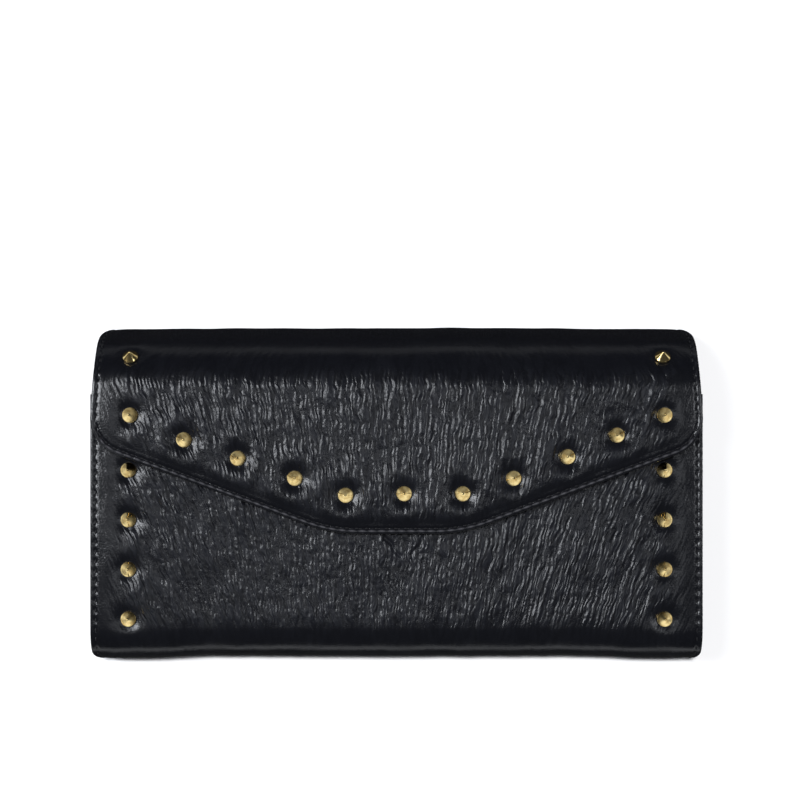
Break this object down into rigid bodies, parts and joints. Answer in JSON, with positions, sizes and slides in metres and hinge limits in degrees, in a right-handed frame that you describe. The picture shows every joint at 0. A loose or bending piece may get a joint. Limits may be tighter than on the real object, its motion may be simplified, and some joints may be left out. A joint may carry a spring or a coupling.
{
  "type": "long envelope wallet",
  "caption": "Long black leather wallet with a studded envelope flap, magnetic snap, accordion sides, zipped coin pocket, card rows and D-rings for a chain",
  "frame": {"origin": "on the table under the middle of the back, halfway between the bottom fold and the top fold", "axes": "+X across the width to the right as the flap faces up, +Y from the bottom fold to the top fold, +Z out of the back towards the flap"},
  "size_m": [0.2, 0.109, 0.0266],
  "materials": {
    "outer_leather": "soft grained black leather, semi-matt with a light sheen",
    "inner_leather": "smooth black leather, matt",
    "lining_twill": "charcoal polyester twill",
    "padding_felt": "grey non-woven felt, hidden",
    "stiffener_board": "bonded leather board, hidden",
    "stud_brass": "polished pale gold plate",
    "trim_brass": "polished gold plate",
    "hidden_steel": "plain steel, hidden",
    "zip_tape": "black woven polyester tape"
  },
  "bodies": {
    "back": {"back_cover": "outer_leather", "back_board": "stiffener_board", "back_lining": "lining_twill", "card_row_1": "inner_leather", "card_row_2": "inner_leather", "card_row_3": "inner_leather", "card_row_4": "inner_leather", "bottom_fold": "outer_leather", "bottom_lining": "lining_twill", "gusset_left": "inner_leather", "gusset_right": "inner_leather"},
    "spine": {"spine_cover": "outer_leather", "spine_lining": "lining_twill", "spine_studs": "stud_brass", "spine_washers": "hidden_steel"},
    "flap": {"flap_cover": "outer_leather", "flap_padding": "padding_felt", "flap_lining": "lining_twill", "flap_studs": "stud_brass", "flap_washers": "hidden_steel", "snap_cap": "trim_brass", "snap_plate_upper": "hidden_steel"},
    "front": {"front_cover": "outer_leather", "front_padding": "padding_felt", "front_lining": "lining_twill", "front_studs": "stud_brass", "front_washers": "hidden_steel", "snap_socket": "trim_brass", "snap_plate_lower": "hidden_steel"},
    "coin_pocket": {"pocket_back_panel": "inner_leather", "pocket_front_panel": "inner_leather", "pocket_bag": "lining_twill", "zip_tape_back": "zip_tape", "zip_tape_front": "zip_tape", "zip_teeth": "trim_brass", "zip_end_stop": "trim_brass", "zip_top_stops": "trim_brass", "ring_tab_left": "inner_leather", "ring_tab_right": "inner_leather", "tab_rivets": "hidden_steel"},
    "slider": {"zip_slider": "trim_brass"},
    "pull": {"zip_pull": "trim_brass"},
    "left_ring": {"ring_left": "trim_brass"},
    "right_ring": {"ring_right": "trim_brass"}
  },
  "joints": [
    {"name": "flap_open", "type": "hinge", "parent": "back", "child": "spine", "pos_m": [0, 0.05387, 0.00185], "axis": [-1, 0, 0], "range_deg": [0, 115]},
    {"name": "flap_crease", "type": "hinge", "parent": "spine", "child": "flap", "pos_m": [0, 0.0384, 0.02335], "axis": [-1, 0, 0], "range_deg": [0, 65]},
    {"name": "front_open", "type": "hinge", "parent": "back", "child": "front", "pos_m": [0, -0.04405, 0.0206], "axis": [1, 0, 0], "range_deg": [0, 20], "deforming": ["gusset_left", "gusset_right"]},
    {"name": "pocket_open", "type": "hinge", "parent": "back", "child": "coin_pocket", "pos_m": [0, -0.043, 0.0112], "axis": [1, 0, 0], "range_deg": [0, 10]},
    {"name": "zip_slide", "type": "slide", "parent": "coin_pocket", "child": "slider", "axis": [1, 0, 0], "range_m": [-0.145, 0], "deforming": ["zip_teeth"]},
    {"name": "pull_swing", "type": "hinge", "parent": "slider", "child": "pull", "pos_m": [0.074, 0.0315, 0.0112], "axis": [0, 0, -1], "range_deg": [0, 180]},
    {"name": "ring_left_swing", "type": "hinge", "parent": "coin_pocket", "child": "left_ring", "pos_m": [-0.0915, 0.0342, 0.0112], "axis": [1, 0, 0], "range_deg": [-45, 45]},
    {"name": "ring_right_swing", "type": "hinge", "parent": "coin_pocket", "child": "right_ring", "pos_m": [0.0915, 0.0342, 0.0112], "axis": [1, 0, 0], "range_deg": [-45, 45]}
  ],
  "couplings": [
    {"joint": "flap_crease", "follows": "flap_open", "ratio": 0.5652},
    {"joint": "front_open", "follows": "flap_open", "ratio": 0.1739},
    {"joint": "pocket_open", "follows": "flap_open", "ratio": 0.0869}
  ]
}
